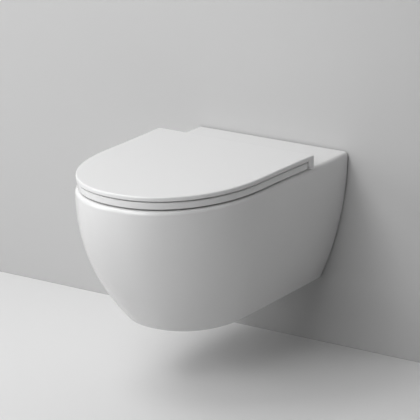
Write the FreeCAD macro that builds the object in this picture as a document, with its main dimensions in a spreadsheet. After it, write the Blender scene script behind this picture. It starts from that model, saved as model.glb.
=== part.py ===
import FreeCAD, Part
import Sketcher
import math
import os

# Wall hung toilet: ceramic pan, seat, wrap-over lid, soft close hinges and concealed wall fixing.
# Millimetres. The wall is the plane Y = 0, the front is towards -Y, +X is right and +Z is up.
# The origin is midway between the two wall fixing bolts, on the wall.

os.makedirs("parts", exist_ok=True)
doc = FreeCAD.newDocument("wall_hung_toilet")
Vector = FreeCAD.Vector

SIZES = (
    # ceramic body
    ("pan_width", 360.6, "widest part of the pan"),
    ("pan_back_width", 356.4, "width where the pan meets the wall"),
    ("pan_reach", 567.4, "back face to front tip, at the deck"),
    ("pan_foot_reach", 432.1, "back face to front tip, at the underside"),
    ("pan_height", 278, "deck to underside"),
    ("pan_side_radius", 660, "curve of the sides, seen from the front"),
    ("front_power_deck", 2.16, "roundness of the plan's front at the deck"),
    ("front_power_foot", 2.285, "roundness of the plan's front at the underside"),
    ("widest_share_deck", 0.573, "place of the widest point, as a share of the reach, at the deck"),
    ("widest_share_foot", 0.621, "the same at the underside"),
    ("belly_straight_share", 0.124, "share of the front's fall that is straight"),
    ("belly_power", 2.2, "how late the front falls away towards the underside"),
    ("deck_edge_radius", 8, "rounding round the deck"),
    ("foot_edge_radius", 9, "rounding round the underside"),
    ("ceramic_wall", 12, "thickness of the outer shell"),
    ("deck_slab", 14, "thickness of the deck"),
    ("foot_slab", 14, "thickness of the underside"),
    ("deck_above_bolts", 90, "deck above the wall bolts"),
    # bowl
    ("rim_width", 36, "width of the rim at the front and the sides"),
    ("bowl_rear", 230, "back face to the rear of the bowl's opening"),
    ("gallery_depth", 42, "upright wall under the rim"),
    ("gallery_ledge", 9, "ledge that the flush water runs on"),
    ("rim_edge_radius", 5, "rounding of the rim into the bowl"),
    ("bowl_power", 2.05, "roundness of the opening's plan"),
    ("bowl_wall", 10, "thickness of the bowl"),
    ("sump_half_width", 42, "half width of the sump's floor"),
    ("sump_front", 392, "back face to the front of the sump's floor"),
    ("sump_rear", 300, "back face to the rear of the sump's floor"),
    # waterways
    ("trap_radius", 27, "bore radius of the trap way"),
    ("way_wall", 9, "wall of the trap way and the flush way"),
    ("sump_start", 345, "back face to where the trap way starts in the sump"),
    ("trap_turn", 250, "back face to the corner where the trap way turns up"),
    ("weir_place", 192, "back face to the weir"),
    ("weir_rise", 148, "corner above the weir, over the trap way's low run"),
    ("fall_place", 118, "back face to the corner where the trap way turns to the outlet"),
    ("trap_bend_radius", 42, "centre line radius of the trap way's bends"),
    ("weir_bend_radius", 36, "centre line radius of the bend over the weir"),
    ("outlet_below_bolts", 100, "outlet axis under the wall bolts"),
    ("outlet_radius", 51, "outside radius of the outlet spigot"),
    ("outlet_wall", 8, "wall of the outlet spigot"),
    ("spigot_length", 40, "outlet spigot, back face to its shoulder"),
    ("inlet_above_bolts", 35, "flush inlet axis above the wall bolts"),
    ("inlet_radius", 27.5, "bore radius of the flush inlet socket"),
    ("inlet_depth", 45, "depth of the flush inlet socket"),
    ("flush_radius", 18, "bore radius of the flush way"),
    ("flush_drop", 30, "flush way's mouth under the deck, in the bowl's rear"),
    # wall side
    ("mat_thickness", 4, "sound insulation mat"),
    ("mat_inset", 4, "mat set in from the ceramic's edge"),
    ("web_from_back", 38, "back face to the upright web inside the pan"),
    ("web_thickness", 14, "thickness of that web"),
    ("rear_edge_depth", 36.5, "depth of the edge that meets the wall"),
    ("bolt_spacing", 180, "wall bolts, centre to centre"),
    ("bolt_hole_radius", 6.5, "hole for the wall bolt"),
    ("boss_radius", 12, "outside of the wall bracket's boss"),
    ("boss_length", 80, "wall to the boss's front end"),
    ("bracket_width", 44, "wall bracket's plate"),
    ("bracket_height", 60, "wall bracket's plate"),
    ("sleeve_wall", 2.8, "plastic sleeve between boss and ceramic"),
    ("sleeve_flange_radius", 19, "flange of that sleeve"),
    ("sleeve_flange", 2, "thickness of that flange"),
    ("block_width", 36, "clamp block"),
    ("block_height", 38, "clamp block"),
    ("block_length", 18, "clamp block, along the boss"),
    ("clamp_screw_radius", 4, "clamp screw"),
    ("clamp_screw_length", 20, "clamp screw"),
    ("clamp_key_radius", 2.5, "recess for the key in the clamp screw"),
    ("clamp_key_depth", 5, "depth of that recess"),
    ("bolt_washer_radius", 12, "washer under the nut on the wall bolt"),
    ("bolt_washer_thickness", 2.5, "the same"),
    ("bolt_nut_flats", 19, "nut on the wall bolt, across flats"),
    ("bolt_nut_height", 10, "the same"),
    ("bolt_nut_bore_radius", 6.05, "the same, clear of the bolt"),
    ("access_radius", 10, "hole in the underside for the clamp screw's key"),
    ("access_plug_wall", 2, "plug in that hole"),
    ("access_plug_depth", 10, "the same"),
    ("access_plug_brim", 2.5, "how far the plug's head covers the ceramic"),
    ("access_plug_head", 1.5, "thickness of the plug's head"),
    ("seal_bore_radius", 22.5, "flush pipe's place in the inlet seal"),
    ("seal_length", 36, "inlet seal in the socket"),
    ("seal_flange_radius", 32, "inlet seal's flange on the ceramic"),
    ("seal_flange", 3, "thickness of that flange"),
    # seat and lid
    ("lid_reach", 565, "back face to the lid's front tip"),
    ("lid_rear", 136.6, "back face to the lid's rear face"),
    ("lid_rear_width", 367.2, "lid's width at the rear"),
    ("lid_width", 360.2, "lid's width where its round front starts"),
    ("lid_round_start", 323.7, "back face to where the round front starts"),
    ("lid_power", 2.158, "roundness of the lid's front"),
    ("lid_top", 28.4, "lid's top above the deck"),
    ("lid_band", 8.2, "depth of the lid's side band"),
    ("lid_plate", 5, "thickness of the lid's plate"),
    ("lid_band_width", 11, "width of the lid's band, from below"),
    ("lid_top_radius", 3, "rounding of the lid's top edge"),
    ("lid_corner_radius", 6, "rounding of the lid's rear corners, in plan"),
    ("skirt_clearance", 1.3, "skirt's foot above the deck"),
    ("skirt_wall", 3, "thickness of the rear skirt"),
    ("seat_set_in", 2.65, "seat set in from the lid's edge"),
    ("seat_top", 16.8, "seat's top above the deck"),
    ("seat_lift", 3.4, "gap between deck and seat"),
    ("seat_side_width", 72, "width of the ring at the sides"),
    ("seat_front_width", 52, "width of the ring at the front"),
    ("seat_hole_rear", 244, "back face to the rear of the seat's opening"),
    ("seat_hole_power", 2.2, "roundness of the seat's opening"),
    ("seat_inner_radius", 6, "rounding into the seat's opening"),
    ("seat_outer_radius", 2, "rounding of the seat's outer edge"),
    ("seat_end_gap", 1.2, "gap between the skirt's roll and the seat's end"),
    ("bumper_radius", 7, "seat bumper"),
    ("bumper_rear", 280, "back face to the rear bumpers"),
    ("bumper_bearing", 49, "front bumpers' bearing round the rim, degrees from the side"),
    ("bumper_seat_gap", 0.2, "bumper's foot above the deck"),
    ("bumper_depth", 3, "how deep a bumper sits in its pocket"),
    ("lid_bumper_radius", 6, "lid bumper"),
    ("lid_bumper_bearing", 40, "lid bumpers' bearing round the ring, degrees from the side"),
    # hinges
    ("hinge_from_back", 143, "back face to the hinge axis"),
    ("hinge_height", 16.8, "hinge axis above the deck"),
    ("hinge_spacing", 155, "hinge bolts, centre to centre"),
    ("neck_offset", 19, "hinge bolt in front of the hinge axis"),
    ("base_radius", 20, "hinge base"),
    ("base_height", 2.3, "hinge base"),
    ("gasket_height", 0.5, "gasket under the hinge base"),
    ("neck_width", 20, "swan neck, along the hinge axis"),
    ("neck_depth", 9, "swan neck, front to back"),
    ("arm_below_axis", 4.5, "swan neck's arm under the hinge axis"),
    ("arm_above_axis", 3.5, "swan neck's arm above the hinge axis"),
    ("eye_radius", 6.3, "eye and knuckles round the hinge axis"),
    ("axle_radius", 2.5, "hinge axle"),
    ("axle_play", 0.05, "running clearance round the axle"),
    ("knuckle_length", 24, "knuckle of seat or lid"),
    ("knuckle_gap", 1.2, "gap between eye and knuckle"),
    ("knuckle_end", 4, "closed end of a knuckle"),
    ("damper_radius", 4.6, "damper or bush in a knuckle"),
    ("damper_play", 0.1, "clearance round the damper"),
    ("bay_half_width", 150, "open bay for the hinges in the lid's skirt, from the middle"),
    ("bay_depth", 32, "the same, in front of the hinge axis"),
    ("bay_play", 0.7, "room round the eye in the lid's plate"),
    ("hinge_bolt_radius", 4, "hinge bolt"),
    ("hinge_bolt_length", 46, "hinge bolt under the deck's surface"),
    ("bush_radius", 7, "expansion bush in the deck"),
    ("bush_play", 0.3, "room round the bush, before it is drawn tight"),
    ("bush_length", 26, "the same"),
    ("hinge_nut_radius", 7.5, "nut that draws the bush tight, over its corners"),
    ("hinge_nut_height", 8, "the same"),
    ("fit_gap", 0.3, "gap between pieces that lie against each other on a curve"),
)

sheet = doc.addObject("Spreadsheet::Sheet", "sizes")
for row, (alias, number, note) in enumerate(SIZES, start=1):
    sheet.set("A%d" % row, note)
    sheet.set("B%d" % row, str(number))
    sheet.setAlias("B%d" % row, alias)
doc.recompute()

probe = doc.addObject("App::FeaturePython", "probe")
probe.addProperty("App::PropertyFloat", "answer")


def worked_out(rule):
    """The number that an expression on the sheet's sizes gives."""
    probe.setExpression("answer", rule)
    probe.recompute()
    return probe.answer


def size(alias):
    """A driving size, as a number."""
    return float(sheet.get(alias))


# Places that several pieces share, as expressions on the sheet.
BACK = "sizes.mat_thickness"
DECK = "sizes.deck_above_bolts"
FOOT = "(sizes.deck_above_bolts - sizes.pan_height)"
AXIS_Y = "(-sizes.mat_thickness - sizes.hinge_from_back)"
AXIS_Z = "(sizes.deck_above_bolts + sizes.hinge_height)"
NECK_Y = "(-sizes.mat_thickness - sizes.hinge_from_back - sizes.neck_offset)"
WEB_FRONT = "(sizes.mat_thickness + sizes.web_from_back + sizes.web_thickness)"
INLET_Z = "sizes.inlet_above_bolts"
OUTLET_Z = "(-sizes.outlet_below_bolts)"
SIDES = (("left", -1), ("right", 1))
ALONG_Y = (Vector(1, 0, 0), 90)
ALONG_X = (Vector(0, 1, 0), 90)

nodes = []


def node(piece, label):
    """Marks an object as a sub-part: its label names its file."""
    piece.Label = label
    nodes.append(piece)
    return piece


def put(thing, at, turn=None):
    """Turns an object about its own origin and binds its place to the sheet."""
    if turn:
        thing.Placement = FreeCAD.Placement(Vector(), FreeCAD.Rotation(*turn))
    for letter, rule in zip("xyz", at):
        thing.setExpression("Placement.Base." + letter, rule)
    return thing


def primitive(kind, name, rules, at, turn=None):
    """A Part primitive with its sizes and place bound to the sheet."""
    thing = doc.addObject("Part::" + kind, name)
    for prop, rule in rules.items():
        thing.setExpression(prop, rule)
    return put(thing, at, turn)


def rod(name, radius, length, at, turn=None):
    """A cylinder that starts at a point and runs along Z, or as turned."""
    return primitive("Cylinder", name, {"Radius": radius, "Height": length}, at, turn)


def block(name, length, width, height, at):
    """A box by its sizes along X, Y and Z and its lowest corner."""
    return primitive("Box", name, {"Length": length, "Width": width, "Height": height}, at)


def cut(name, base, *tools):
    """Takes solids away from a base."""
    for number, tool in enumerate(tools, start=1):
        made = doc.addObject("Part::Cut", "%s_%d" % (name, number))
        made.Base = base
        made.Tool = tool
        base = made
    return base


def fuse(name, *pieces):
    """Joins solids into one."""
    made = doc.addObject("Part::MultiFuse", name)
    made.Shapes = list(pieces)
    return made


def turned(name, profile, at, turn=None):
    """A body turned round its own Y axis from corners given as (radius, height) expressions."""
    body = doc.addObject("PartDesign::Body", name)
    plane = [o for o in body.Origin.OriginFeatures if o.Role == "XY_Plane"][0]
    sketch = body.newObject("Sketcher::SketchObject", name + "_profile")
    sketch.AttachmentSupport = [(plane, "")]
    sketch.MapMode = "FlatFace"
    corners = [Vector(worked_out(a), worked_out(b), 0) for a, b in profile]
    count = len(corners)
    for i in range(count):
        sketch.addGeometry(Part.LineSegment(corners[i], corners[(i + 1) % count]), False)
    for i in range(count):
        sketch.addConstraint(Sketcher.Constraint("Coincident", i, 2, (i + 1) % count, 1))
    for i, rules in enumerate(profile):
        for kind, rule in zip(("DistanceX", "DistanceY"), rules):
            made = Sketcher.Constraint(kind, -1, 1, i, 1, worked_out(rule))
            sketch.setExpression("Constraints[%d]" % sketch.addConstraint(made), rule)
    spin = body.newObject("PartDesign::Revolution", name + "_turning")
    spin.Profile = sketch
    spin.ReferenceAxis = (sketch, ["V_Axis"])
    spin.Angle = 360
    return put(body, at, turn)


def shape_piece(name, shape):
    """A piece whose shape is worked out from the sheet by the functions here."""
    piece = doc.addObject("Part::Feature", name)
    piece.Shape = shape
    return piece


# --- outlines in plan -------------------------------------------------------------------------


def front_curve(half_back, half_wide, rear, wide, reach, power, z):
    """The U of a plan outline, right rear corner round the front to the left one, as points.

    The sides widen or narrow by a parabola from the rear to the widest place, and a
    superellipse closes the front. Distances run forward from the ceramic's back face.
    """
    back = size("mat_thickness")
    side_steps = 5
    front_steps = 9
    half = []
    for k in range(side_steps):
        s = rear + (wide - rear) * k / side_steps
        share = (wide - s) / (wide - rear)
        half.append((half_wide + (half_back - half_wide) * share**2, s))
    for k in range(front_steps):
        angle = math.pi / 2 * k / front_steps
        x = half_wide * math.cos(angle) ** (2 / power)
        half.append((x, wide + (reach - wide) * math.sin(angle) ** (2 / power)))
    right = [Vector(x, -back - s, z) for x, s in half]
    left = [Vector(-x, -back - s, z) for x, s in reversed(half)]
    return right + [Vector(0, -back - reach, z)] + left


def chord_steps(points):
    """Running length along the points, which spaces a curve's knots."""
    steps = [0.0]
    for a, b in zip(points, points[1:]):
        steps.append(steps[-1] + (b - a).Length)
    return steps


def u_wire(points, steps):
    """A closed wire: a smooth U through the points and a straight line across its back."""
    curve = Part.BSplineCurve()
    curve.interpolate(Points=points, Parameters=steps)
    return Part.Wire([curve.toShape(), Part.LineSegment(points[-1], points[0]).toShape()])


def oval(half_width, rear, front, power, z):
    """A closed smooth plan curve from a rear to a front distance, widest in the middle."""
    back = size("mat_thickness")
    middle = (rear + front) / 2
    quarter = 7
    points = []
    for k in range(4 * quarter):
        angle = math.pi / 2 * k / quarter
        c, s = math.cos(angle), math.sin(angle)
        x = half_width * math.copysign(abs(c) ** (2 / power), c)
        y = (front - middle) * math.copysign(abs(s) ** (2 / power), s)
        points.append(Vector(x, -back - middle - y, z))
    curve = Part.BSplineCurve()
    curve.interpolate(Points=points, PeriodicFlag=True)
    return Part.Wire([curve.toShape()])


def prism(wire, height):
    """A solid that stands on a flat closed wire."""
    return Part.Face(wire).extrude(Vector(0, 0, height))


def beam(radius, x0, x1, s, z):
    """A round bar along X at a distance from the back face."""
    return Part.makeCylinder(radius, x1 - x0, Vector(x0, -size("mat_thickness") - s, z), Vector(1, 0, 0))


def slab(x0, x1, s0, s1, z0, z1):
    """A box between two distances from the back face."""
    return Part.makeBox(x1 - x0, s1 - s0, z1 - z0, Vector(x0, -size("mat_thickness") - s1, z0))


def pipe_along(points, bends, radius):
    """A round bar along straight runs in the plane X = 0, with an arc at each corner."""
    edges = []
    start = points[0]
    for here, after, bend in zip(points[1:], points[2:], bends):
        into = (here - start).normalize()
        out = (after - here).normalize()
        half = into.getAngle(out) / 2
        reach = bend * math.tan(half)
        begin = here - into * reach
        end = here + out * reach
        towards = (out - into).normalize()
        crown = here + towards * (bend / math.cos(half) - bend)
        edges.append(Part.LineSegment(start, begin).toShape())
        edges.append(Part.Arc(begin, crown, end).toShape())
        start = end
    edges.append(Part.LineSegment(start, points[-1]).toShape())
    ring = Part.Wire([Part.Circle(points[0], points[1] - points[0], radius).toShape()])
    return Part.Wire(edges).makePipeShell([ring], True, False)


# --- ceramic pan ------------------------------------------------------------------------------


def pan_section(drop, set_in=0.0, run_back=0.0):
    """The pan's outline at a drop below the deck, drawn in by a wall where asked."""
    share = drop / size("pan_height")
    side = size("pan_side_radius")
    draw_in = side - math.sqrt(side**2 - drop**2)
    straight = size("belly_straight_share")
    fall = straight * share + (1 - straight) * share ** size("belly_power")
    reach = size("pan_reach") - (size("pan_reach") - size("pan_foot_reach")) * fall
    wide_share = size("widest_share_deck")
    wide_share += (size("widest_share_foot") - wide_share) * share
    power = size("front_power_deck")
    power += (size("front_power_foot") - power) * share
    return front_curve(
        size("pan_back_width") / 2 - draw_in - set_in,
        size("pan_width") / 2 - draw_in - set_in,
        -run_back,
        reach * wide_share,
        reach - set_in,
        power,
        size("deck_above_bolts") - drop,
    )


def pan_loft(drops, set_in=0.0, run_back=0.0):
    """A solid through the pan's outlines at several drops below the deck."""
    steps = chord_steps(pan_section(drops[0], set_in, run_back))
    return Part.makeLoft([u_wire(pan_section(d, set_in, run_back), steps) for d in drops], True, False)


def spread(first, last, count):
    """Evenly spaced values, both ends included."""
    return [first + (last - first) * k / (count - 1) for k in range(count)]


def bowl_loft(wall):
    """The bowl below the gallery: its inside for no wall, its outside for a wall."""
    deck = size("deck_above_bolts")
    top_half = size("pan_width") / 2 - size("rim_width") - size("gallery_ledge")
    top_rear = size("bowl_rear") + size("gallery_ledge")
    top_front = size("pan_reach") - size("rim_width") - size("gallery_ledge")
    floor = size("pan_height") - size("foot_slab") - 2
    top = size("gallery_depth")
    wires = []
    for share in spread(0, 1, 6):
        fall = share**1.5
        half = top_half + (size("sump_half_width") - top_half) * fall
        rear = top_rear + (size("sump_rear") - top_rear) * fall
        front = top_front + (size("sump_front") - top_front) * fall
        drop = top + (floor - top) * math.sin(math.pi / 2 * share)
        drop += wall * share
        wires.append(oval(half + wall, rear - wall, front + wall, size("bowl_power"), deck - drop))
    return Part.makeLoft(wires, True, False)


def gallery(wall, above):
    """The upright part of the bowl under the rim."""
    deck = size("deck_above_bolts")
    half = size("pan_width") / 2 - size("rim_width") + wall
    front = size("pan_reach") - size("rim_width") + wall
    wire = oval(half, size("bowl_rear") - wall, front, size("bowl_power"), deck - size("gallery_depth") - wall)
    return prism(wire, size("gallery_depth") + wall + above)


def trap_points():
    """Corners of the trap way: sump, turn up, weir, fall, outlet."""
    back = size("mat_thickness")
    low = size("deck_above_bolts") - size("pan_height") + size("foot_slab") + size("trap_radius") + 4
    outlet = -size("outlet_below_bolts")
    return [
        Vector(0, -back - size("sump_start"), low),
        Vector(0, -back - size("trap_turn"), low),
        Vector(0, -back - size("weir_place"), low + size("weir_rise")),
        Vector(0, -back - size("fall_place"), outlet),
        Vector(0, -back - size("spigot_length"), outlet),
    ]


def trap_way(radius):
    bends = (size("trap_bend_radius"), size("weir_bend_radius"), size("trap_bend_radius"))
    return pipe_along(trap_points(), bends, radius)


def along_y(radius, s0, s1, z, x=0.0):
    """A round bar square to the wall."""
    back = size("mat_thickness")
    return Part.makeCylinder(radius, s1 - s0, Vector(x, -back - s0, z), Vector(0, -1, 0))


def cone_y(radius0, radius1, s0, s1, z):
    """A cone square to the wall."""
    back = size("mat_thickness")
    return Part.makeCone(radius0, radius1, s1 - s0, Vector(0, -back - s0, z), Vector(0, -1, 0))


def flush_way(radius):
    """The way from the inlet socket to the bowl's rear wall, under the rim."""
    back = size("mat_thickness")
    start = Vector(0, -back - size("inlet_depth") + 2, size("inlet_above_bolts"))
    mouth = size("deck_above_bolts") - size("flush_drop")
    end = Vector(0, -back - size("bowl_rear") - 4, mouth)
    return Part.makeCylinder(radius, (end - start).Length, start, end - start)


def edges_at(shape, z, wide):
    """Edges that lie flat at a height, other than the straight one across the back."""
    found = []
    for edge in shape.Edges:
        box = edge.BoundBox
        if abs(box.ZMin - z) < 0.01 and abs(box.ZMax - z) < 0.01 and box.YLength > wide:
            found.append(edge)
    return found


def ceramic_pan():
    """The pan in two by a plane just behind the web: all in front, and the edge that meets the wall."""
    deck = size("deck_above_bolts")
    height = size("pan_height")
    foot = deck - height
    wall = size("ceramic_wall")
    outer = pan_loft(spread(0, height, 8))
    outer = outer.makeFillet(size("deck_edge_radius"), edges_at(outer, deck, 50))
    outer = outer.makeFillet(size("foot_edge_radius"), edges_at(outer, foot, 50))
    hollow = pan_loft(spread(size("deck_slab"), height - size("foot_slab"), 7), wall, wall)
    wide = size("pan_width")
    joint = size("rear_edge_depth")
    rear_edge = slab(-wide, wide, -1, joint, foot - 1, deck + 1).common(outer).cut(hollow)
    shell = slab(-wide, wide, joint, 2 * size("pan_reach"), foot - 1, deck + 1).common(outer).cut(hollow)
    web = slab(
        -size("pan_width"), size("pan_width"),
        size("web_from_back"), size("web_from_back") + size("web_thickness"),
        foot, deck - size("deck_slab") / 2,
    ).common(outer)
    way = size("way_wall")
    spigot = size("spigot_length")
    solids = [
        web,
        bowl_loft(size("bowl_wall")),
        gallery(size("bowl_wall"), -size("deck_slab") / 2),
        trap_way(size("trap_radius") + way),
        along_y(size("outlet_radius"), size("web_from_back"), spigot + 6, -size("outlet_below_bolts")),
        cone_y(size("outlet_radius"), size("trap_radius") + way, spigot + 6, size("fall_place") - 10,
               -size("outlet_below_bolts")),
        along_y(size("inlet_radius") + way, size("web_from_back"), size("inlet_depth") + 8, size("inlet_above_bolts")),
        flush_way(size("flush_radius") + way).common(outer),
    ]
    body = shell.fuse(solids)
    bore = size("outlet_radius") - size("outlet_wall")
    outlet = -size("outlet_below_bolts")
    ways = [
        bowl_loft(0),
        gallery(0, 1),
        trap_way(size("trap_radius")),
        along_y(bore, -1, spigot, outlet),
        cone_y(bore, size("trap_radius"), spigot, size("fall_place") - 24, outlet),
        along_y(size("inlet_radius"), -1, size("inlet_depth"), size("inlet_above_bolts")),
        flush_way(size("flush_radius")),
    ]
    for tool in ways:
        body = body.cut(tool)
    half_bolts = size("bolt_spacing") / 2
    sleeve = size("boss_radius") + size("sleeve_wall") + size("fit_gap")
    for _, sign in SIDES:
        hole = along_y(sleeve, size("web_from_back") - 1, size("web_from_back") + size("web_thickness") + 1,
                       0, sign * half_bolts)
        body = body.cut(hole)
        under = Vector(sign * half_bolts, -worked_out(CLAMP_Y), foot - 1)
        body = body.cut(Part.makeCylinder(size("access_radius"), size("foot_slab") + 2, under))
        x = sign * size("hinge_spacing") / 2
        seat_hole = Vector(x, worked_out(NECK_Y), deck - size("deck_slab") - 1)
        bush = size("bush_radius") + size("bush_play")
        body = body.cut(Part.makeCylinder(bush, size("deck_slab") + 2, seat_hole))
    rim = [e for e in body.Edges if is_rim(e, deck)]
    body = body.makeFillet(size("rim_edge_radius"), rim)
    return body.removeSplitter(), rear_edge


def is_rim(edge, deck):
    """True for the edge where the deck meets the bowl."""
    box = edge.BoundBox
    flat = abs(box.ZMin - deck) < 0.01 and abs(box.ZMax - deck) < 0.01
    middle = -size("mat_thickness") - size("bowl_rear")
    return flat and box.XLength > 100 and box.YMax < middle + 1


CLAMP_Y = "(%s + sizes.fit_gap + sizes.block_length / 2)" % WEB_FRONT


PAN_FRONT, PAN_REAR = ceramic_pan()
node(shape_piece("pan", PAN_FRONT), "ceramic_pan")
node(shape_piece("pan_rear", PAN_REAR), "pan_rear_edge")


def inlet_collar():
    """The ceramic collar round the seal, from the back face to the web."""
    rear = ("0", "-" + BACK, INLET_Z)
    outer = rod("collar_outer", "sizes.inlet_radius + sizes.way_wall", "sizes.web_from_back", rear, ALONG_Y)
    inner = rod("collar_inner", "sizes.inlet_radius", "sizes.web_from_back + 2",
                ("0", "-" + BACK + " + 1", INLET_Z), ALONG_Y)
    return node(cut("collar", outer, inner), "inlet_collar")


inlet_collar()


def outlet_spigot():
    """The ceramic spigot for the waste connector, from the back face to the web."""
    outer = rod("spigot_outer", "sizes.outlet_radius", "sizes.web_from_back", ("0", "-" + BACK, OUTLET_Z), ALONG_Y)
    inner = rod("spigot_inner", "sizes.outlet_radius - sizes.outlet_wall", "sizes.web_from_back + 2",
                ("0", "-" + BACK + " + 1", OUTLET_Z), ALONG_Y)
    return node(cut("spigot", outer, inner), "outlet_spigot")


outlet_spigot()

# --- wall side pieces -------------------------------------------------------------------------


def insulation_mat():
    """The pan's back outline, drawn in, with windows for the brackets and the two pipes."""
    inset = "sizes.mat_inset"
    plate = block(
        "mat_plate",
        "sizes.pan_back_width", BACK, "sizes.pan_height - 2 * %s" % inset,
        ("-sizes.pan_back_width / 2", "-" + BACK, "%s + %s" % (FOOT, inset)),
    )
    sheet_of_mat = plate
    for side, sign in SIDES:
        centre = "%d * (sizes.pan_back_width / 2 - sizes.pan_side_radius)" % sign
        round_side = rod("mat_curve_" + side, "sizes.pan_side_radius - %s" % inset, BACK,
                         (centre, "0", DECK), ALONG_Y)
        kept = doc.addObject("Part::MultiCommon", "mat_kept_" + side)
        kept.Shapes = [sheet_of_mat, round_side]
        sheet_of_mat = kept
    windows = []
    for side, sign in SIDES:
        windows.append(block(
            "mat_window_" + side,
            "sizes.bracket_width + 2 * sizes.fit_gap", BACK, "sizes.bracket_height + 2 * sizes.fit_gap",
            ("%d * sizes.bolt_spacing / 2 - sizes.bracket_width / 2 - sizes.fit_gap" % sign, "-" + BACK,
             "-sizes.bracket_height / 2 - sizes.fit_gap"),
        ))
    windows.append(rod("mat_inlet_hole", "sizes.seal_flange_radius + 2", BACK, ("0", "0", INLET_Z), ALONG_Y))
    windows.append(rod("mat_outlet_hole", "sizes.outlet_radius + 8", BACK, ("0", "0", OUTLET_Z), ALONG_Y))
    return node(cut("mat", sheet_of_mat, *windows), "insulation_mat")


def flush_inlet_seal():
    """Rubber bush for the flush pipe, with a flange on the ceramic's back face."""
    outer = "sizes.inlet_radius - sizes.fit_gap / 2"
    flange = "sizes.seal_flange"
    return node(turned(
        "inlet_seal",
        [
            ("sizes.seal_bore_radius", "0"),
            (outer, "0"),
            (outer, "sizes.seal_length"),
            ("sizes.seal_flange_radius", "sizes.seal_length"),
            ("sizes.seal_flange_radius", "sizes.seal_length + " + flange),
            ("sizes.seal_bore_radius", "sizes.seal_length + " + flange),
        ],
        ("0", "-%s - sizes.seal_length" % BACK, INLET_Z),
    ), "flush_inlet_seal")


def wall_fixing(side, sign):
    """One side's concealed fixing: bracket, sleeve, washer, nut, clamp block, screw and plug."""
    x = "%d * sizes.bolt_spacing / 2" % sign
    plate = block("bracket_plate_" + side, "sizes.bracket_width", BACK, "sizes.bracket_height",
                  ("%s - sizes.bracket_width / 2" % x, "-" + BACK, "-sizes.bracket_height / 2"))
    boss = rod("bracket_boss_" + side, "sizes.boss_radius", "sizes.boss_length", (x, "0", "0"), ALONG_Y)
    bore = rod("bracket_bore_" + side, "sizes.bolt_hole_radius", "sizes.boss_length + 2", (x, "1", "0"), ALONG_Y)
    node(cut("bracket_" + side, fuse("bracket_solid_" + side, plate, boss), bore), "wall_bracket_" + side)

    inner = "sizes.boss_radius + sizes.axle_play"
    outer = "sizes.boss_radius + sizes.sleeve_wall"
    length = "(sizes.web_thickness + sizes.sleeve_flange)"
    node(turned(
        "sleeve_" + side,
        [
            (inner, "0"), (outer, "0"), (outer, "sizes.web_thickness"),
            ("sizes.sleeve_flange_radius", "sizes.web_thickness"),
            ("sizes.sleeve_flange_radius", length), (inner, length),
        ],
        (x, "-" + WEB_FRONT, "0"),
    ), "bracket_sleeve_" + side)

    washer_y = "-sizes.boss_length"
    washer = rod("washer_disc_" + side, "sizes.bolt_washer_radius", "sizes.bolt_washer_thickness",
                 (x, washer_y, "0"), ALONG_Y)
    hole = rod("washer_hole_" + side, "sizes.bolt_hole_radius", "sizes.bolt_washer_thickness + 2",
               (x, washer_y + " + 1", "0"), ALONG_Y)
    node(cut("washer_" + side, washer, hole), "bolt_washer_" + side)

    nut_y = "(-sizes.boss_length - sizes.bolt_washer_thickness)"
    hexagon = primitive("Prism", "nut_hexagon_" + side,
                        {"Circumradius": "sizes.bolt_nut_flats / 2 / cos(30 deg)", "Height": "sizes.bolt_nut_height"},
                        (x, nut_y, "0"), ALONG_Y)
    thread = rod("nut_bore_" + side, "sizes.bolt_nut_bore_radius", "sizes.bolt_nut_height + 2",
                 (x, nut_y + " + 1", "0"), ALONG_Y)
    node(cut("nut_" + side, hexagon, thread), "bolt_nut_" + side)

    low = "(-sizes.block_height / 2 - sizes.boss_radius / 2)"
    body = block("clamp_body_" + side, "sizes.block_width", "sizes.block_length", "sizes.block_height",
                 ("%s - sizes.block_width / 2" % x, "-%s - sizes.fit_gap - sizes.block_length" % WEB_FRONT, low))
    seat = rod("clamp_seat_" + side, inner, "sizes.block_length + 2",
               (x, "-%s - sizes.fit_gap + 1" % WEB_FRONT, "0"), ALONG_Y)
    thread = rod("clamp_thread_" + side, "sizes.clamp_screw_radius", "sizes.block_height",
                 (x, "-" + CLAMP_Y, low + " - sizes.block_height / 2"))
    node(cut("clamp_" + side, body, seat, thread), "clamp_block_" + side)

    tip = "(-sizes.boss_radius - sizes.axle_play)"
    screw = rod("screw_shank_" + side, "sizes.clamp_screw_radius", "sizes.clamp_screw_length",
                (x, "-" + CLAMP_Y, tip + " - sizes.clamp_screw_length"))
    key = primitive("Prism", "screw_key_" + side,
                    {"Circumradius": "sizes.clamp_key_radius", "Height": "sizes.clamp_key_depth"},
                    (x, "-" + CLAMP_Y, tip + " - sizes.clamp_screw_length"))
    node(cut("screw_" + side, screw, key), "clamp_screw_" + side)

    plug = "sizes.access_radius - sizes.fit_gap / 2"
    head = "sizes.access_plug_head"
    rim = "sizes.access_radius + sizes.access_plug_brim"
    hollow = "sizes.access_radius - sizes.access_plug_wall"
    top = "sizes.access_plug_head + sizes.access_plug_depth"
    node(turned(
        "plug_" + side,
        [("0", "0"), (rim, "0"), (rim, head), (plug, head), (plug, top), (hollow, top), (hollow, head + " + 1"),
         ("0", head + " + 1")],
        (x, "-" + CLAMP_Y, "%s - %s" % (FOOT, head)),
        ALONG_Y,
    ), "access_plug_" + side)


# --- seat and lid -----------------------------------------------------------------------------


def lid_outline(set_in, z):
    """The lid's plan outline, drawn in by an amount, as a closed wire at a height."""
    points = front_curve(
        size("lid_rear_width") / 2 - set_in,
        size("lid_width") / 2 - set_in,
        size("lid_rear"),
        size("lid_round_start"),
        size("lid_reach") - set_in,
        size("lid_power"),
        z,
    )
    return u_wire(points, chord_steps(points))


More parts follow.
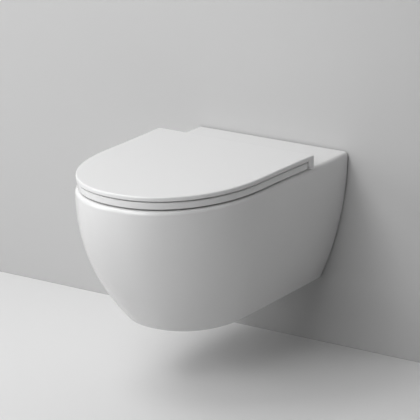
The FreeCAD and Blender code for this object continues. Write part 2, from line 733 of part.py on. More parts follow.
def upright_edges_at_rear(shape):
    """The two upright edges where the sides meet the rear face."""
    y = -size("mat_thickness") - size("lid_rear")
    return [
        e for e in shape.Edges
        if e.BoundBox.ZLength > 1 and e.BoundBox.XLength < 0.01 and abs(e.BoundBox.YMin - y) < 0.01
    ]


def knuckle(sign, start, pocket_faces_out, root_height, root_reach):
    """A knuckle's solid and its bores: a barrel with a pocket for the damper or bush.

    It starts at a distance from the middle and runs outwards by its length. The pocket
    opens towards the hinge eye. The root is the block that joins it to its seat or lid.
    """
    length = size("knuckle_length")
    end = start + length
    x0, x1 = sorted((sign * start, sign * end))
    s = size("hinge_from_back")
    z = worked_out(AXIS_Z)
    barrel = beam(size("eye_radius"), x0, x1, s, z)
    if root_height > 0:
        root = slab(x0, x1, s - size("eye_radius"), s + size("eye_radius"), z, z + root_height)
    else:
        root = slab(x0, x1, s, s + root_reach, z - size("eye_radius"), z - size("hinge_height") + size("seat_top"))
    closed = size("knuckle_end")
    pocket = (start - 1, end - closed) if pocket_faces_out < 0 else (start + closed, end + 1)
    p0, p1 = sorted((sign * pocket[0], sign * pocket[1]))
    tools = [
        beam(size("damper_radius") + size("damper_play"), p0, p1, s, z),
        beam(size("axle_radius") + size("axle_play"), x0 - 1, x1 + 1, s, z),
    ]
    return barrel.fuse(root), tools


def roll_radius():
    """Underside of the lid's skirt, a roll round the hinge axis that just clears the deck."""
    return size("hinge_height") - size("skirt_clearance")


def seat_ring():
    deck = size("deck_above_bolts")
    s = size("hinge_from_back")
    z_axis = worked_out(AXIS_Z)
    low = deck + size("seat_lift")
    thick = size("seat_top") - size("seat_lift")
    set_in = size("seat_set_in")
    ring = prism(lid_outline(set_in, low), thick)
    hole = oval(size("lid_width") / 2 - size("seat_side_width"), size("seat_hole_rear"),
                size("lid_reach") - size("seat_front_width"), size("seat_hole_power"), low - 1)
    ring = ring.cut(prism(hole, thick + 2))
    outer = [e for e in ring.Edges if e.BoundBox.ZLength < 0.01 and e.BoundBox.XLength > 300
             and e.BoundBox.YLength > 300]
    inner = [e for e in ring.Edges if e.BoundBox.ZLength < 0.01 and 100 < e.BoundBox.XLength < 300]
    ring = ring.makeFillet(size("seat_outer_radius"), outer)
    inner = [e for e in ring.Edges if e.BoundBox.ZLength < 0.01 and 100 < e.BoundBox.XLength < 300
             and e.BoundBox.YLength > 150]
    ring = ring.makeFillet(size("seat_inner_radius"), inner)
    wide = size("lid_rear_width")
    bay = size("bay_half_width") + 2
    end = s + roll_radius() + size("seat_end_gap")
    ring = ring.cut(slab(-wide, wide, 0, end, low - 1, deck + size("lid_top")))
    ring = ring.cut(slab(-bay, bay, 0, s + size("bay_depth") - 2, low - 1, deck + size("lid_top")))
    start = size("hinge_spacing") / 2 - size("neck_width") / 2 - size("knuckle_gap") - size("knuckle_length")
    for _, sign in SIDES:
        solid, tools = knuckle(sign, start, 1, 0, size("bay_depth") + 8)
        ring = ring.fuse(solid)
        for tool in tools:
            ring = ring.cut(tool)
    for x, y in seat_bumper_places():
        ring = ring.cut(Part.makeCylinder(size("bumper_radius") + size("fit_gap"), size("bumper_depth") + 1,
                                          Vector(x, y, low - 1)))
    return ring.removeSplitter()


def round_front(half_wide, wide, reach, bearing):
    """A place on a superellipse front, by its bearing in degrees from the side."""
    angle = math.radians(bearing)
    power = 2 / size("front_power_deck")
    return half_wide * math.cos(angle) ** power, wide + (reach - wide) * math.sin(angle) ** power


def seat_bumper_places():
    """Plan places of the seat's four bumpers, over the middle of the rim."""
    back = size("mat_thickness")
    middle = size("rim_width") / 2
    wide = size("pan_reach") * size("widest_share_deck")
    rear = size("pan_width") / 2 - middle
    x, s = round_front(rear, wide, size("pan_reach") - middle, size("bumper_bearing"))
    behind = -back - size("bumper_rear")
    return [(-rear, behind), (rear, behind), (-x, -back - s), (x, -back - s)]


def lid_bumper_places():
    """Plan places of the lid's two bumpers, over the middle of the seat ring."""
    back = size("mat_thickness")
    half = size("lid_width") / 2 - size("seat_side_width") / 2
    reach = size("lid_reach") - size("seat_front_width") / 2
    x, s = round_front(half, size("lid_round_start"), reach, size("lid_bumper_bearing"))
    return [(-x, -back - s), (x, -back - s)]


def lid_shape():
    deck = size("deck_above_bolts")
    top = deck + size("lid_top")
    s = size("hinge_from_back")
    z_axis = worked_out(AXIS_Z)
    wide = size("lid_rear_width")
    foot = deck + size("skirt_clearance")
    tall = prism(lid_outline(0, foot), top - foot)
    tall = tall.makeFillet(size("lid_corner_radius"), upright_edges_at_rear(tall))
    band = top - size("lid_band")
    roll = tall.common(beam(roll_radius(), -wide, wide, s, z_axis))
    roll = roll.common(slab(-wide, wide, 0, size("lid_reach"), foot - 1, band + 1))
    upper = tall.cut(slab(-wide, wide, 0, size("lid_reach") + 10, foot - 1, band))
    rim = [e for e in upper.Edges if abs(e.BoundBox.ZMin - top) < 0.01]
    upper = upper.makeFillet(size("lid_top_radius"), rim)
    recess = prism(lid_outline(size("lid_band_width"), band - 1), size("lid_band") - size("lid_plate") + 1)
    recess = recess.common(slab(-wide, wide, s + size("bay_depth"), size("lid_reach"), band - 2, top))
    lid = upper.cut(recess).fuse(roll)
    bay = size("bay_half_width")
    under = top - size("lid_plate")
    lid = lid.cut(slab(-bay, bay, size("lid_rear") + size("skirt_wall"), s + size("bay_depth") + 1, deck, under))
    half = size("hinge_spacing") / 2
    neck = size("neck_width") / 2
    gap = size("knuckle_gap")
    length = size("knuckle_length")
    play = size("bay_play")
    for _, sign in SIDES:
        x0, x1 = sorted((sign * (half - neck - gap - length - 1), sign * (half + neck + gap)))
        lid = lid.cut(beam(size("eye_radius") + play, x0, x1, s, z_axis))
        x2, x3 = sorted((sign * (half - neck - gap - length - 2), sign * (half + size("base_radius") + 4)))
        lid = lid.cut(slab(x2, x3, 0, s, deck, z_axis))
        x4, x5 = sorted((sign * (half - neck - gap), sign * (half + neck + gap)))
        lid = lid.cut(slab(x4, x5, 0, s, deck, under))
        solid, tools = knuckle(sign, half + neck + gap, -1, size("lid_top") - size("hinge_height") - 2, 0)
        lid = lid.fuse(solid)
        for tool in tools:
            lid = lid.cut(tool)
    return lid.removeSplitter()


def bumper(name, radius, foot_z, height, place, body_gap):
    """A round rubber bumper with a small step at its foot."""
    x, y = place
    foot = radius + " - 1"
    step = "1"
    profile = [("0", "0"), (foot, "0"), (radius, step), (radius, height), ("0", height)]
    piece = turned(name, profile, (str(x), str(y), foot_z), ALONG_Y)
    return node(piece, name)


# --- hinges -----------------------------------------------------------------------------------


def hinge(side, sign):
    """One side's fixed hinge pieces: base with swan neck, axle, gasket, bolt, bush and nut."""
    x = "%d * sizes.hinge_spacing / 2" % sign
    base_z = "(%s + sizes.gasket_height)" % DECK
    disc = rod("base_disc_" + side, "sizes.base_radius", "sizes.base_height", (x, NECK_Y, base_z))
    column = block("base_column_" + side, "sizes.neck_width", "sizes.neck_depth",
                   "sizes.hinge_height + sizes.arm_above_axis - sizes.gasket_height",
                   ("%s - sizes.neck_width / 2" % x, "%s - sizes.neck_depth / 2" % NECK_Y, base_z))
    arm = block("base_arm_" + side, "sizes.neck_width", "sizes.neck_offset",
                "sizes.arm_below_axis + sizes.arm_above_axis",
                ("%s - sizes.neck_width / 2" % x, NECK_Y, "%s - sizes.arm_below_axis" % AXIS_Z))
    eye = rod("base_eye_" + side, "sizes.eye_radius", "sizes.neck_width",
              ("%s - sizes.neck_width / 2" % x, AXIS_Y, AXIS_Z), ALONG_X)
    bore = rod("base_bore_" + side, "sizes.axle_radius", "sizes.neck_width + 2",
               ("%s - sizes.neck_width / 2 - 1" % x, AXIS_Y, AXIS_Z), ALONG_X)
    tapped = rod("base_tapped_" + side, "sizes.hinge_bolt_radius", "sizes.base_height + 6",
                 (x, NECK_Y, base_z + " - 1"))
    solid = fuse("base_solid_" + side, disc, column, arm, eye)
    node(cut("base_" + side, solid, bore, tapped), "hinge_base_" + side)

    reach = "(sizes.neck_width / 2 + sizes.knuckle_gap + sizes.knuckle_length - 1)"
    node(rod("axle_" + side, "sizes.axle_radius", "2 * " + reach, ("%s - %s" % (x, reach), AXIS_Y, AXIS_Z),
             ALONG_X), "hinge_axle_" + side)

    ring = rod("gasket_disc_" + side, "sizes.base_radius", "sizes.gasket_height", (x, NECK_Y, DECK))
    hole = rod("gasket_hole_" + side, "sizes.bush_radius", "sizes.gasket_height + 2", (x, NECK_Y, DECK + " - 1"))
    node(cut("gasket_" + side, ring, hole), "hinge_gasket_" + side)

    bolt_top = "(%s + sizes.base_height + 4)" % base_z
    node(rod("bolt_" + side, "sizes.hinge_bolt_radius", "sizes.hinge_bolt_length + sizes.base_height + 4",
             (x, NECK_Y, "%s - sizes.hinge_bolt_length - sizes.base_height - 4" % bolt_top)),
         "hinge_bolt_" + side)

    bore_r = "sizes.hinge_bolt_radius + sizes.axle_play"
    slim = "sizes.bush_radius - 1"
    node(turned(
        "bush_" + side,
        [(bore_r, "0"), (slim, "0"), ("sizes.bush_radius", "sizes.bush_length / 2"),
         ("sizes.bush_radius", "sizes.bush_length"), (bore_r, "sizes.bush_length")],
        (x, NECK_Y, "%s - sizes.bush_length" % DECK), ALONG_Y,
    ), "expansion_bush_" + side)

    nut_z = "%s - sizes.bush_length - sizes.hinge_nut_height" % DECK
    hexagon = primitive("Prism", "bush_nut_hexagon_" + side,
                        {"Circumradius": "sizes.hinge_nut_radius", "Height": "sizes.hinge_nut_height"},
                        (x, NECK_Y, nut_z))
    thread = rod("bush_nut_bore_" + side, bore_r, "sizes.hinge_nut_height + 2", (x, NECK_Y, nut_z + " - 1"))
    node(cut("bush_nut_" + side, hexagon, thread), "hinge_nut_" + side)


def barrel_insert(name, sign, inner_end):
    """A damper or bush that fills a knuckle's pocket round the axle."""
    length = "(sizes.knuckle_length - sizes.knuckle_end - 0.5)"
    start = worked_out(inner_end) if sign > 0 else -worked_out(inner_end) - worked_out(length)
    outer = rod(name + "_outer", "sizes.damper_radius", length, (str(start), AXIS_Y, AXIS_Z), ALONG_X)
    inner = rod(name + "_inner", "sizes.axle_radius + sizes.axle_play", length + " + 2",
                (str(start - 1), AXIS_Y, AXIS_Z), ALONG_X)
    return node(cut(name + "_piece", outer, inner), name)


SEAT_INSERT = "(sizes.hinge_spacing / 2 - sizes.neck_width / 2 - sizes.knuckle_gap - sizes.knuckle_length" \
    " + sizes.knuckle_end + 0.3)"
LID_INSERT = "(sizes.hinge_spacing / 2 + sizes.neck_width / 2 + sizes.knuckle_gap + 0.2)"

insulation_mat()
flush_inlet_seal()
for side, sign in SIDES:
    wall_fixing(side, sign)
for side, sign in SIDES:
    hinge(side, sign)

node(shape_piece("seat", seat_ring()), "seat_ring")
bumper_names = ("rear_left", "rear_right", "front_left", "front_right")
for name, place in zip(bumper_names, seat_bumper_places()):
    bumper("seat_bumper_" + name, "sizes.bumper_radius", "%s + sizes.bumper_seat_gap" % DECK,
           "sizes.seat_lift - sizes.bumper_seat_gap + sizes.bumper_depth - sizes.fit_gap", place, None)
barrel_insert("seat_damper", -1, SEAT_INSERT)
barrel_insert("seat_bush", 1, SEAT_INSERT)

node(shape_piece("lid", lid_shape()), "lid_cover")
for side, place in zip(("left", "right"), lid_bumper_places()):
    bumper("lid_bumper_" + side, "sizes.lid_bumper_radius", "%s + sizes.seat_top + sizes.bumper_seat_gap" % DECK,
           "sizes.lid_top - sizes.lid_plate - sizes.seat_top - sizes.bumper_seat_gap", place, None)
barrel_insert("lid_damper", 1, LID_INSERT)
barrel_insert("lid_bush", -1, LID_INSERT)

# --- check and write --------------------------------------------------------------------------

doc.removeObject(probe.Name)
doc.recompute()
for thing in doc.Objects:
    if "Invalid" in thing.State or "Error" in thing.State:
        raise RuntimeError("%s failed to build: %s" % (thing.Label, thing.State))
labels = [piece.Label for piece in nodes]
if len(set(labels)) != len(labels):
    raise RuntimeError("two sub-parts share a label")
for piece in nodes:
    if piece.Shape.isNull() or not piece.Shape.isValid() or not piece.Shape.Solids:
        raise RuntimeError("%s has no valid solid" % piece.Label)
for piece in nodes:
    piece.Shape.exportStep(os.path.join("parts", piece.Label + ".step"))
    print(piece.Label, len(piece.Shape.Solids), round(piece.Shape.Volume / 1000, 2))
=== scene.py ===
import math

import bmesh
import bpy
from bpy.props import FloatProperty, PointerProperty, StringProperty
from mathutils import Matrix, Vector

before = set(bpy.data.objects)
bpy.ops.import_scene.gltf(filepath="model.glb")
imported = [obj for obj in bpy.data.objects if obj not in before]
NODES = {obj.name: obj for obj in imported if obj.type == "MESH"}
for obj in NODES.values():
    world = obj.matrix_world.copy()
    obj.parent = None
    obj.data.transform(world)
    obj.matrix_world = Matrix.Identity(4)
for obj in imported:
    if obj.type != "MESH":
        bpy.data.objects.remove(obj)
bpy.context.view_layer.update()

bl_info = {
    "name": "Wall Hung Toilet",
    "version": (1, 0, 0),
    "blender": (4, 5, 0),
    "location": "View3D > Sidebar > Toilet",
    "description": "Wall hung toilet with soft close seat and wrap-over lid",
    "category": "Object",
}

# The camera looks at the middle of the deck's rear edge.
DECK_REAR = Vector((0.0, -0.004, 0.090))
SENSOR_WIDTH = 36.0
CLIP_START, CLIP_END = 0.1, 100.0

# Wall and floor are squares. The wall stands just behind the pan's back.
STAGE_SIDE = 12.0
WALL_PLACE = 0.0006

# The opening in the wall, inside the mat's outline so that it can't be seen from the front.
# Half widths are those at its top, at half its height and at its foot.
OPENING_TOP, OPENING_FOOT = 0.083, -0.181
OPENING_HALF_WIDTHS = (0.172, 0.1575, 0.113)

# Each lamp's name, bearing from the front and height in degrees, and power in watts.
LAMPS = (
    ("key", -50.0, 60.0, 24.0),
    ("overhead", -25.0, 60.0, 9.0),
    ("left", -90.0, 60.0, 14.0),
    ("side", -52.0, 18.0, 25.0),
    ("front", 0.0, 35.0, 33.0),
    ("rear", 180.0, 12.0, 30.0),
)
LAMP_TARGET = Vector((0.0, -0.3, 0.0))
LAMP_DISTANCE = 3.0
LAMP_SIDE = 1.6
SKY_STRENGTH = 0.04

# The share of the light on wall and floor that they keep from the toilet.
BOUNCE_LOSS = 0.2

GLAZE_IOR = 1.52
DUROPLAST_IOR = 1.55
FOAM_IOR = 1.45
RUBBER_IOR = 1.5
NYLON_IOR = 1.53


# --- settings ---------------------------------------------------------------------------------


class StageSettings(bpy.types.PropertyGroup):
    azimuth: FloatProperty(
        name="Camera azimuth", description="Round the toilet from straight in front",
        default=math.radians(32.933), subtype="ANGLE")
    elevation: FloatProperty(
        name="Camera elevation", description="Above the horizon",
        default=math.radians(17.280), subtype="ANGLE")
    distance: FloatProperty(
        name="Camera distance", description="From the middle of the deck's rear edge",
        default=5.3305, unit="LENGTH")
    across: FloatProperty(
        name="Framing across", description="How far the camera stands to the left of that line",
        default=0.12511, unit="LENGTH")
    down: FloatProperty(
        name="Framing down", description="How far the camera stands below that line",
        default=0.14459, unit="LENGTH")
    lens: FloatProperty(
        name="Lens", description="Focal length on a 36 mm wide sensor", default=225.04, min=1.0)
    floor_drop: FloatProperty(
        name="Floor below bolts", description="From the wall bolts down to the floor",
        default=0.3242, unit="LENGTH")
    wall_colour: StringProperty(
        name="Wall", description="sRGB colour of the wall", default="#D6D6D6")
    floor_colour: StringProperty(
        name="Floor", description="sRGB colour of the floor", default="#E6E6E6")


class FinishSettings(bpy.types.PropertyGroup):
    china: StringProperty(
        name="Glaze", description="sRGB colour of the glazed china", default="#F2F2F2")
    duroplast: StringProperty(
        name="Duroplast", description="sRGB colour of seat, lid and plugs", default="#F1F1F1")
    foam: StringProperty(
        name="Foam mat", description="sRGB colour of the wall mat", default="#5E6062")
    bumper: StringProperty(
        name="Bumpers", description="sRGB colour of the bumpers", default="#D9D9D6")
    rubber: StringProperty(
        name="Rubber", description="sRGB colour of gaskets and the inlet seal", default="#1B1B1C")
    zinc: StringProperty(
        name="Zinc plate", description="sRGB colour of the wall fixings", default="#B4B7BA")
    stainless: StringProperty(
        name="Stainless", description="sRGB colour of the hinges", default="#C9CBCD")
    nylon: StringProperty(
        name="Nylon", description="sRGB colour of dampers and their bushes", default="#C8C7C2")
    grey_nylon: StringProperty(
        name="Grey nylon", description="sRGB colour of deck bushes, their nuts and bracket sleeves",
        default="#63666A")
    pattern: FloatProperty(
        name="Pattern scale", description="Multiplies the size of every surface pattern",
        default=1.0, min=0.1)


# --- colours, sizes and shader nodes ----------------------------------------------------------


def linear(code):
    """An sRGB hex colour as the linear colour that a shader takes."""
    parts = [int(code[i:i + 2], 16) / 255 for i in (1, 3, 5)]
    return tuple(c / 12.92 if c <= 0.04045 else ((c + 0.055) / 1.055) ** 2.4
                 for c in parts) + (1.0,)


def darker(code, share):
    """The same colour with a share of its light taken away."""
    r, g, b, a = linear(code)
    return (r * (1 - share), g * (1 - share), b * (1 - share), a)


def cycles_per_metre(millimetres):
    """A texture scale from the real size of one of its features."""
    return 1000.0 / (millimetres * bpy.context.scene.toilet_finishes.pattern)


def add_node(tree, kind, inputs=None, **settings):
    """Adds a node, sets its properties, and sets or links its inputs."""
    made = tree.nodes.new(kind)
    for key, value in settings.items():
        setattr(made, key, value)
    for key, value in (inputs or {}).items():
        if isinstance(value, bpy.types.NodeSocket):
            tree.links.new(value, made.inputs[key])
        else:
            made.inputs[key].default_value = value
    return made


def new_material(name):
    """An empty material, and the Object coordinates that its patterns read."""
    made = bpy.data.materials.new(name)
    made.use_nodes = True
    made.node_tree.nodes.clear()
    place = add_node(made.node_tree, "ShaderNodeTexCoord").outputs["Object"]
    return made, made.node_tree, place


def noise(tree, place, millimetres, detail=2.0):
    """A noise pattern with features of a real size."""
    inputs = {"Vector": place, "Scale": cycles_per_metre(millimetres), "Detail": detail}
    return add_node(tree, "ShaderNodeTexNoise", inputs).outputs["Fac"]


def mix_colours(tree, factor, first, second):
    """The first colour where the factor is 0, the second where it is 1."""
    inputs = {"Factor": factor, "A": first, "B": second}
    return add_node(tree, "ShaderNodeMix", inputs, data_type="RGBA").outputs["Result"]


def gloss_between(tree, factor, low, high):
    """A roughness that follows a pattern from low to high."""
    inputs = {"Value": factor, "To Min": low, "To Max": high}
    return add_node(tree, "ShaderNodeMapRange", inputs).outputs["Result"]


def bump(tree, height, strength, millimetres, under=None):
    """Relief of a real height in millimetres, over another relief where one is given."""
    inputs = {"Height": height, "Strength": strength, "Distance": millimetres / 1000.0}
    if under is not None:
        inputs["Normal"] = under
    return add_node(tree, "ShaderNodeBump", inputs).outputs["Normal"]


def show(tree, surface):
    """Sends a shader to the material's output."""
    add_node(tree, "ShaderNodeOutputMaterial", {"Surface": surface})


def show_principled(tree, inputs):
    """Sends one Principled shader with these inputs to the material's output."""
    show(tree, add_node(tree, "ShaderNodeBsdfPrincipled", inputs).outputs["BSDF"])


# --- materials --------------------------------------------------------------------------------


def glazed_china():
    """Vitreous china under a fired glaze.

    The gloss is soft over a white that is a touch uneven, with long faint ripples in the
    reflections where the glaze ran before it set.
    """
    code = bpy.context.scene.toilet_finishes.china
    made, tree, place = new_material("glazed vitreous china")
    cloud = noise(tree, place, 140)
    # Orange peel of a sprayed glaze, about 9 mm across and a few hundredths of a mm high.
    peel = bump(tree, noise(tree, place, 9, 1.0), 0.25, 0.04)
    ripple = bump(tree, noise(tree, place, 60, 1.0), 0.4, 0.2, under=peel)
    show_principled(tree, {
        "Base Color": mix_colours(tree, cloud, linear(code), darker(code, 0.03)),
        "Roughness": gloss_between(tree, cloud, 0.20, 0.27), "IOR": GLAZE_IOR,
        "Normal": ripple, "Coat Weight": 0.12, "Coat Roughness": 0.08})
    return made


def duroplast():
    """Compression moulded urea duroplast: about as glossy as the china, with no ripple."""
    code = bpy.context.scene.toilet_finishes.duroplast
    made, tree, place = new_material("moulded duroplast")
    cloud = noise(tree, place, 90, 3.0)
    # Mould polish leaves grain near 0.4 mm, drawn at 1.5 mm so that it shows at all.
    grain = bump(tree, noise(tree, place, 1.5), 0.10, 0.02)
    show_principled(tree, {
        "Base Color": mix_colours(tree, cloud, linear(code), darker(code, 0.02)),
        "Roughness": gloss_between(tree, cloud, 0.18, 0.26), "IOR": DUROPLAST_IOR,
        "Normal": grain})
    return made


def closed_cell_foam():
    """Cross-linked polyethylene foam: dull, with small closed cell pits on its cut edge, and
    painted shade in each pit.
    """
    code = bpy.context.scene.toilet_finishes.foam
    made, tree, place = new_material("closed cell foam")
    cell_relief_and_shade = add_node(tree, "ShaderNodeTexVoronoi",
                     {"Vector": place, "Scale": cycles_per_metre(1.2)}).outputs["Distance"]
    # Each cell pit is painted darker where its relief is lowest: painted shade in the hollows.
    show_principled(tree, {
        "Base Color": mix_colours(tree, cell_relief_and_shade, darker(code, 0.25), linear(code)),
        "Roughness": 0.9, "IOR": FOAM_IOR, "Normal": bump(tree, cell_relief_and_shade, 0.5, 0.3)})
    return made


def moulded_rubber(name, code, rough):
    """Moulded rubber: matt, with a faint bloom in patches and a fine grain from the tool."""
    made, tree, place = new_material(name)
    bloom = noise(tree, place, 6, 3.0)
    show_principled(tree, {
        "Base Color": mix_colours(tree, bloom, linear(code), darker(code, 0.12)),
        "Roughness": rough, "IOR": RUBBER_IOR,
        "Normal": bump(tree, noise(tree, place, 0.8), 0.3, 0.1)})
    return made


def zinc_plated_steel():
    """Pressed steel with bright zinc plate: grey with a cloudy spangle and worn gloss."""
    code = bpy.context.scene.toilet_finishes.zinc
    made, tree, place = new_material("zinc plated steel")
    cloud = noise(tree, place, 5, 4.0)
    show_principled(tree, {
        "Base Color": mix_colours(tree, cloud, linear(code), darker(code, 0.3)),
        "Roughness": gloss_between(tree, cloud, 0.25, 0.5), "Metallic": 1.0})
    return made


def stainless_steel(name, rough):
    """Stainless steel, cast or drawn and then polished, with fine polishing lines along X."""
    code = bpy.context.scene.toilet_finishes.stainless
    made, tree, place = new_material(name)
    stretched = add_node(tree, "ShaderNodeMapping",
                         {"Vector": place, "Scale": (0.05, 1.0, 1.0)}).outputs["Vector"]
    # Polishing lines are near 0.1 mm, drawn at 0.5 mm so that they show.
    lines = noise(tree, stretched, 0.5)
    show_principled(tree, {
        "Base Color": linear(code), "Metallic": 1.0,
        "Roughness": gloss_between(tree, lines, rough * 0.8, rough * 1.3),
        "Normal": bump(tree, lines, 0.15, 0.05)})
    return made


def moulded_nylon(name, code):
    """Injection moulded nylon: satin, faintly mottled, with a fine spark eroded grain."""
    made, tree, place = new_material(name)
    grain = noise(tree, place, 0.7)
    show_principled(tree, {
        "Base Color": mix_colours(tree, grain, linear(code), darker(code, 0.08)),
        "Roughness": 0.45, "IOR": NYLON_IOR, "Normal": bump(tree, grain, 0.2, 0.06)})
    return made


def painted_board(name, code, one_sided):
    """The stage's matt paint, which sends less light back to the toilet than it shows the eye.

    A one sided board can't be seen from behind.
    """
    made, tree, _ = new_material(name)
    path = add_node(tree, "ShaderNodeLightPath").outputs
    seen = add_node(tree, "ShaderNodeMath", {0: path["Is Camera Ray"], 1: path["Is Glossy Ray"]},
                    operation="MAXIMUM").outputs["Value"]
    tone = mix_colours(tree, seen, darker(code, BOUNCE_LOSS), linear(code))
    paint = add_node(tree, "ShaderNodeBsdfDiffuse", {"Color": tone, "Roughness": 0.5})
    surface = paint.outputs["BSDF"]
    if one_sided:
        back = add_node(tree, "ShaderNodeNewGeometry").outputs["Backfacing"]
        clear = add_node(tree, "ShaderNodeBsdfTransparent").outputs["BSDF"]
        sides = add_node(tree, "ShaderNodeMixShader", {0: back, 1: surface, 2: clear})
        surface = sides.outputs["Shader"]
    show(tree, surface)
    return made


def coat_nodes(material, *starts):
    """Gives every CAD node whose name starts so the material, in each of its slots."""
    found = [o for name, o in sorted(NODES.items()) if name.startswith(starts)]
    if not found:
        raise RuntimeError("no node starts with " + ", ".join(starts))
    for o in found:
        if not o.material_slots:
            o.data.materials.append(material)
        for slot in o.material_slots:
            slot.material = material


# --- stage ------------------------------------------------------------------------------------


def deselect():
    """Leaves nothing selected and nothing being edited."""
    if bpy.context.object and bpy.context.object.mode != "OBJECT":
        bpy.ops.object.mode_set(mode="OBJECT")
    bpy.ops.object.select_all(action="DESELECT")


def direction(azimuth, elevation):
    """The unit vector out of the toilet at two angles in radians, from its front and level."""
    return Vector((math.sin(azimuth) * math.cos(elevation),
                   -math.cos(azimuth) * math.cos(elevation),
                   math.sin(elevation)))


def add_camera(scene, stage):
    """The scene's camera, turned at the deck's rear edge and then shifted for the framing."""
    back = direction(stage.azimuth, stage.elevation)
    right = Vector((math.cos(stage.azimuth), math.sin(stage.azimuth), 0.0))
    up = back.cross(right)
    camera = bpy.data.objects.new("camera", bpy.data.cameras.new("camera"))
    scene.collection.objects.link(camera)
    camera.data.sensor_width = SENSOR_WIDTH
    camera.data.lens = stage.lens
    camera.data.clip_start = CLIP_START
    camera.data.clip_end = CLIP_END
    camera.location = (DECK_REAR + back * stage.distance - right * stage.across
                       - up * stage.down)
    camera.rotation_mode = "QUATERNION"
    camera.rotation_quaternion = Matrix((right, up, back)).transposed().to_quaternion()
    scene.camera = camera


def add_lamp(scene, name, bearing, height, watts):
    """A soft square lamp that faces the pan."""
    away = direction(math.radians(bearing), math.radians(height))
    light = bpy.data.lights.new(name, "AREA")
    light.size = LAMP_SIDE
    light.energy = watts
    lamp = bpy.data.objects.new(name, light)
    scene.collection.objects.link(lamp)
    lamp.location = LAMP_TARGET + LAMP_DISTANCE * away
    lamp.rotation_mode = "QUATERNION"
    lamp.rotation_quaternion = (-away).to_track_quat("-Z", "Y")


def choose(mesh_object, wanted, kind="VERT"):
    """In edit mode, selects only the vertices or faces whose place in the room passes a test."""
    bpy.ops.mesh.select_mode(type=kind)
    bpy.ops.mesh.select_all(action="DESELECT")
    mesh = bmesh.from_edit_mesh(mesh_object.data)
    found = False
    for spot in mesh.verts if kind == "VERT" else mesh.faces:
        place = spot.co if kind == "VERT" else spot.calc_center_median()
        if wanted(mesh_object.matrix_world @ place):
            spot.select_set(True)
            found = True
    mesh.select_flush_mode()
    bmesh.update_edit_mesh(mesh_object.data)
    if not found:
        raise RuntimeError("nothing to select on " + mesh_object.name)


def add_floor(floor_drop):
    """The floor, from the wall forward."""
    bpy.ops.mesh.primitive_plane_add(size=STAGE_SIDE,
                                     location=(0.0, -STAGE_SIDE / 2, -floor_drop))
    floor = bpy.context.object
    floor.name = "floor"
    return floor


def add_wall(floor_drop):
    """The wall, cut out behind the pan so that light from behind reaches the pan's back."""
    middle = STAGE_SIDE / 2 - floor_drop
    bpy.ops.mesh.primitive_plane_add(size=STAGE_SIDE, location=(0.0, WALL_PLACE, middle),
                                     rotation=(math.pi / 2, 0.0, 0.0))
    wall = bpy.context.object
    wall.name = "wall"
    centre = (OPENING_TOP + OPENING_FOOT) / 2
    # A first, square opening, and how far from the axes its vertices lie at most.
    half, reach = 0.15, 0.2
    bpy.ops.object.mode_set(mode="EDIT")
    bpy.ops.mesh.inset(thickness=STAGE_SIDE / 2 - half)
    bpy.ops.transform.translate(value=(0.0, 0.0, centre - middle))
    bpy.ops.transform.resize(value=(1.0, 1.0, (OPENING_TOP - OPENING_FOOT) / (2 * half)),
                             center_override=(0.0, 0.0, centre))
    choose(wall, lambda spot: abs(spot.x) < reach and abs(spot.z) < reach)
    bpy.ops.mesh.subdivide(number_cuts=1)
    for level, half_width in zip((OPENING_TOP, centre, OPENING_FOOT), OPENING_HALF_WIDTHS):
        choose(wall, lambda spot: abs(spot.x) < reach and abs(spot.z - level) < 0.01)
        bpy.ops.transform.resize(value=(half_width / half, 1.0, 1.0),
                                 center_override=(0.0, 0.0, level))
    choose(wall, lambda spot: abs(spot.x) < reach and abs(spot.z) < reach, kind="FACE")
    bpy.ops.mesh.delete(type="FACE")
    bpy.ops.object.mode_set(mode="OBJECT")
    return wall


# --- operators --------------------------------------------------------------------------------


class TOILET_OT_stage(bpy.types.Operator):
    """Camera, floor, wall and lights"""
    bl_idname = "toilet.add_stage"
    bl_label = "Stage"

    def execute(self, context):
        scene = context.scene
        stage = scene.toilet_stage
        add_camera(scene, stage)
        deselect()
        floor = add_floor(stage.floor_drop)
        floor.data.materials.append(painted_board("floor paint", stage.floor_colour, False))
        wall = add_wall(stage.floor_drop)
        wall.data.materials.append(painted_board("wall paint", stage.wall_colour, True))
        for lamp in LAMPS:
            add_lamp(scene, *lamp)
        scene.world = bpy.data.worlds.new("studio")
        scene.world.use_nodes = True
        sky = scene.world.node_tree.nodes["Background"]
        sky.inputs["Color"].default_value = (1.0, 1.0, 1.0, 1.0)
        sky.inputs["Strength"].default_value = SKY_STRENGTH
        scene.view_settings.view_transform = "Standard"
        return {"FINISHED"}


class TOILET_OT_china(bpy.types.Operator):
    """Glazes the pan"""
    bl_idname = "toilet.glaze_pan"
    bl_label = "Pan"

    def execute(self, context):
        coat_nodes(glazed_china(), "ceramic_pan", "pan_rear_edge", "inlet_collar",
                   "outlet_spigot")
        return {"FINISHED"}


class TOILET_OT_seat(bpy.types.Operator):
    """Finishes the seat, the lid and their bumpers"""
    bl_idname = "toilet.finish_seat"
    bl_label = "Seat and lid"

    def execute(self, context):
        finishes = context.scene.toilet_finishes
        coat_nodes(duroplast(), "seat_ring", "lid_cover")
        coat_nodes(moulded_rubber("bumper rubber", finishes.bumper, 0.6),
                   "seat_bumper", "lid_bumper")
        return {"FINISHED"}


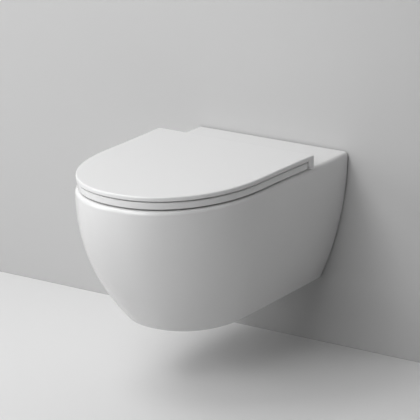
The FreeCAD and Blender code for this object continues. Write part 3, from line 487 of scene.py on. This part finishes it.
class TOILET_OT_hinges(bpy.types.Operator):
    """Finishes the hinges, dampers and deck bushes, and the rubber seals"""
    bl_idname = "toilet.finish_hinges"
    bl_label = "Hinges and seals"

    def execute(self, context):
        finishes = context.scene.toilet_finishes
        coat_nodes(stainless_steel("polished stainless steel", 0.14), "hinge_base")
        coat_nodes(stainless_steel("drawn stainless steel", 0.28), "hinge_axle", "hinge_bolt")
        coat_nodes(moulded_nylon("white nylon", finishes.nylon),
                   "seat_damper", "seat_bush", "lid_damper", "lid_bush")
        coat_nodes(moulded_nylon("grey nylon", finishes.grey_nylon),
                   "expansion_bush", "hinge_nut")
        coat_nodes(moulded_rubber("seal rubber", finishes.rubber, 0.55),
                   "hinge_gasket", "flush_inlet_seal")
        return {"FINISHED"}


class TOILET_OT_fixings(bpy.types.Operator):
    """Finishes the wall fixings, the mat and the plugs"""
    bl_idname = "toilet.finish_fixings"
    bl_label = "Wall fixings"

    def execute(self, context):
        finishes = context.scene.toilet_finishes
        coat_nodes(closed_cell_foam(), "insulation_mat")
        coat_nodes(zinc_plated_steel(), "wall_bracket", "bolt_washer", "bolt_nut",
                   "clamp_block", "clamp_screw")
        coat_nodes(moulded_nylon("sleeve nylon", finishes.grey_nylon), "bracket_sleeve")
        coat_nodes(moulded_nylon("plug nylon", finishes.duroplast), "access_plug")
        return {"FINISHED"}


STEPS = (TOILET_OT_stage, TOILET_OT_china, TOILET_OT_seat, TOILET_OT_hinges, TOILET_OT_fixings)


class TOILET_PT_panel(bpy.types.Panel):
    """The toilet's steps and settings"""
    bl_idname = "TOILET_PT_panel"
    bl_label = "Wall Hung Toilet"
    bl_space_type = "VIEW_3D"
    bl_region_type = "UI"
    bl_category = "Toilet"

    def draw(self, context):
        for step in STEPS:
            self.layout.operator(step.bl_idname)
        for group in (context.scene.toilet_stage, context.scene.toilet_finishes):
            column = self.layout.column()
            for name in group.__annotations__:
                column.prop(group, name)


CLASSES = (StageSettings, FinishSettings) + STEPS + (TOILET_PT_panel,)


def register():
    for made in CLASSES:
        bpy.utils.register_class(made)
    bpy.types.Scene.toilet_stage = PointerProperty(type=StageSettings)
    bpy.types.Scene.toilet_finishes = PointerProperty(type=FinishSettings)


def unregister():
    del bpy.types.Scene.toilet_finishes
    del bpy.types.Scene.toilet_stage
    for made in reversed(CLASSES):
        bpy.utils.unregister_class(made)


def main():
    register()
    bpy.ops.toilet.add_stage()
    bpy.ops.toilet.glaze_pan()
    bpy.ops.toilet.finish_seat()
    bpy.ops.toilet.finish_hinges()
    bpy.ops.toilet.finish_fixings()
    deselect()


if __name__ == "__main__":
    main()
